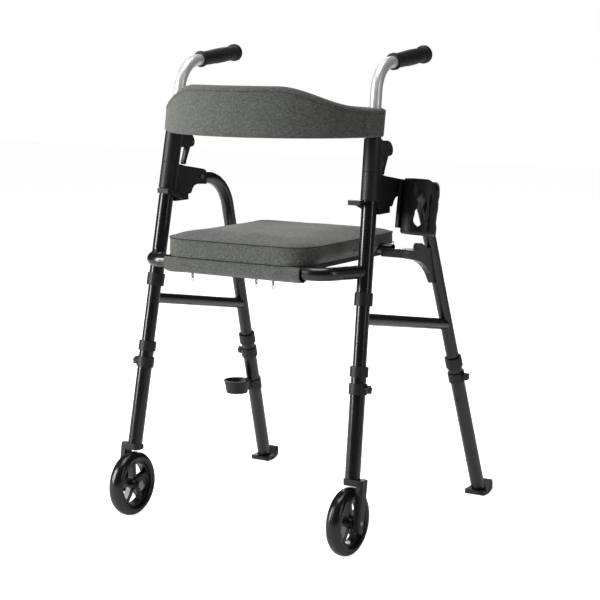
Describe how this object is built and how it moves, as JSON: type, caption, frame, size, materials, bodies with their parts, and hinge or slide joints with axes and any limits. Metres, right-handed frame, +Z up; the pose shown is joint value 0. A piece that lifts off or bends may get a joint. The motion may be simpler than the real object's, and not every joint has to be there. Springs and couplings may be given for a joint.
{
  "type": "rollator walker",
  "caption": "Folding walker on two front wheels and two rear glides, with a padded flip-up seat, fabric backrest, height-adjustable handles, cup holder and cane cup.",
  "frame": {"origin": "centre of the footprint box, on the floor", "axes": "+Z up, -Y towards the front wheels and backrest, +X to the side with the cup holder"},
  "size_m": [0.6142, 0.6182, 0.9252],
  "materials": {
    "black_tube": "semi-gloss powder coat",
    "black_plastic": "fine texture",
    "polished_tube": "polished",
    "grip_rubber": "matt",
    "tyre_rubber": "smooth",
    "wheel_plastic": "satin",
    "screw_steel": "zinc plated",
    "grey_fabric": "woven melange",
    "board_panel": "moulded",
    "spring_steel": "plain"
  },
  "bodies": {
    "front_frame": {"upright_right": "black_tube", "upright_left": "black_tube", "front_cross_tube": "black_tube", "hinge_collars": "black_plastic", "collar_screws": "screw_steel", "handle_clamp_right": "black_plastic", "handle_clamp_left": "black_plastic", "lever_pins": "screw_steel", "handle_bushes": "black_plastic", "backrest_bow": "spring_steel", "backrest_pad": "grey_fabric"},
    "seat": {"seat_cushion": "grey_fabric", "seat_board": "board_panel", "seat_rear_tube": "black_tube", "seat_clips": "black_plastic", "seat_sleeve": "grey_fabric"},
    "side_frame_right": {"pivot_tube_right": "black_tube", "rear_leg_right": "black_tube", "side_rail_right": "black_tube", "hinge_arm_right": "black_plastic", "seat_bracket_right": "black_tube", "side_screws_right": "screw_steel", "cup_holder": "black_plastic"},
    "front_leg_right": {"front_leg_tube_right": "black_tube", "front_leg_rings_right": "black_plastic", "wheel_fork_right": "black_plastic", "fork_bolts_right": "screw_steel"},
    "wheel_right": {"wheel_right": "wheel_plastic", "tyre_right": "tyre_rubber"},
    "front_knob_right": {"knob_front_right": "black_plastic"},
    "rear_foot_right": {"rear_foot_tube_right": "black_tube", "rear_foot_rings_right": "black_plastic", "glide_right": "black_plastic"},
    "rear_knob_right": {"knob_rear_right": "black_plastic"},
    "handle_right": {"handle_tube_right": "polished_tube", "grip_right": "grip_rubber"},
    "handle_lever_right": {"handle_lever_right": "black_plastic"},
    "fold_paddle_right": {"fold_paddle_right": "black_plastic"},
    "side_frame_left": {"pivot_tube_left": "black_tube", "rear_leg_left": "black_tube", "side_rail_left": "black_tube", "hinge_arm_left": "black_plastic", "seat_bracket_left": "black_tube", "side_screws_left": "screw_steel"},
    "front_leg_left": {"front_leg_tube_left": "black_tube", "front_leg_rings_left": "black_plastic", "wheel_fork_left": "black_plastic", "fork_bolts_left": "screw_steel"},
    "wheel_left": {"wheel_left": "wheel_plastic", "tyre_left": "tyre_rubber"},
    "front_knob_left": {"knob_front_left": "black_plastic"},
    "rear_foot_left": {"rear_foot_tube_left": "black_tube", "rear_foot_rings_left": "black_plastic", "glide_left": "black_plastic", "cane_cup": "black_plastic"},
    "rear_knob_left": {"knob_rear_left": "black_plastic"},
    "handle_left": {"handle_tube_left": "polished_tube", "grip_left": "grip_rubber"},
    "handle_lever_left": {"handle_lever_left": "black_plastic"},
    "fold_paddle_left": {"fold_paddle_left": "black_plastic"}
  },
  "joints": [
    {"name": "seat_flip", "type": "hinge", "parent": "front_frame", "child": "seat", "pos_m": [-0.01056, -0.25, 0.5155], "axis": [1, 0, 0], "range_deg": [0, 65]},
    {"name": "side_fold_right", "type": "hinge", "parent": "front_frame", "child": "side_frame_right", "pos_m": [0.22716, -0.18745, 0.404], "axis": [-0.0382, 0.1708, 0.9846], "range_deg": [0, 24]},
    {"name": "front_leg_slide_right", "type": "slide", "parent": "side_frame_right", "child": "front_leg_right", "axis": [0.0382, -0.1708, -0.9846], "range_m": [0, 0.075]},
    {"name": "wheel_spin_right", "type": "hinge", "parent": "front_leg_right", "child": "wheel_right", "pos_m": [0.23564, -0.2456, 0.0635], "axis": [1, 0, 0], "continuous": true},
    {"name": "rear_foot_slide_right", "type": "slide", "parent": "side_frame_right", "child": "rear_foot_right", "axis": [0.0546, 0.3214, -0.9454], "range_m": [0, 0.075]},
    {"name": "front_knob_turn_right", "type": "hinge", "parent": "front_leg_right", "child": "front_knob_right", "pos_m": [0.23107, -0.20493, 0.3032], "axis": [0.9993, 0.0065, 0.0376], "continuous": true},
    {"name": "rear_knob_turn_right", "type": "hinge", "parent": "rear_foot_right", "child": "rear_knob_right", "pos_m": [0.24091, 0.18595, 0.262], "axis": [0.9985, -0.0176, 0.0517], "continuous": true},
    {"name": "handle_slide_right", "type": "slide", "parent": "front_frame", "child": "handle_right", "axis": [-0.0382, 0.1708, 0.9846], "range_m": [0, 0.1]},
    {"name": "lever_swing_right", "type": "hinge", "parent": "front_frame", "child": "handle_lever_right", "pos_m": [0.21445, -0.0785, 0.7315], "axis": [1, 0, 0], "range_deg": [0, 70]},
    {"name": "paddle_press_right", "type": "hinge", "parent": "side_frame_right", "child": "fold_paddle_right", "pos_m": [0.20008, -0.118, 0.626], "axis": [1, 0, 0], "range_deg": [0, 12]},
    {"name": "side_fold_left", "type": "hinge", "parent": "front_frame", "child": "side_frame_left", "pos_m": [-0.24828, -0.18745, 0.404], "axis": [-0.0382, -0.1708, -0.9846], "range_deg": [0, 24]},
    {"name": "front_leg_slide_left", "type": "slide", "parent": "side_frame_left", "child": "front_leg_left", "axis": [-0.0382, -0.1708, -0.9846], "range_m": [0, 0.075]},
    {"name": "wheel_spin_left", "type": "hinge", "parent": "front_leg_left", "child": "wheel_left", "pos_m": [-0.25676, -0.2456, 0.0635], "axis": [1, 0, 0], "continuous": true},
    {"name": "rear_foot_slide_left", "type": "slide", "parent": "side_frame_left", "child": "rear_foot_left", "axis": [-0.0546, 0.3214, -0.9454], "range_m": [0, 0.075]},
    {"name": "front_knob_turn_left", "type": "hinge", "parent": "front_leg_left", "child": "front_knob_left", "pos_m": [-0.25219, -0.20493, 0.3032], "axis": [-0.9993, 0.0065, 0.0376], "continuous": true},
    {"name": "rear_knob_turn_left", "type": "hinge", "parent": "rear_foot_left", "child": "rear_knob_left", "pos_m": [-0.26203, 0.18595, 0.262], "axis": [-0.9985, -0.0176, 0.0517], "continuous": true},
    {"name": "handle_slide_left", "type": "slide", "parent": "front_frame", "child": "handle_left", "axis": [0.0382, 0.1708, 0.9846], "range_m": [0, 0.1]},
    {"name": "lever_swing_left", "type": "hinge", "parent": "front_frame", "child": "handle_lever_left", "pos_m": [-0.23557, -0.0785, 0.7315], "axis": [1, 0, 0], "range_deg": [0, 70]},
    {"name": "paddle_press_left", "type": "hinge", "parent": "side_frame_left", "child": "fold_paddle_left", "pos_m": [-0.2212, -0.118, 0.626], "axis": [1, 0, 0], "range_deg": [0, 12]}
  ],
  "couplings": [
    {"joint": "side_fold_right", "follows": "seat_flip", "ratio": 0.36},
    {"joint": "side_fold_left", "follows": "seat_flip", "ratio": 0.36}
  ]
}
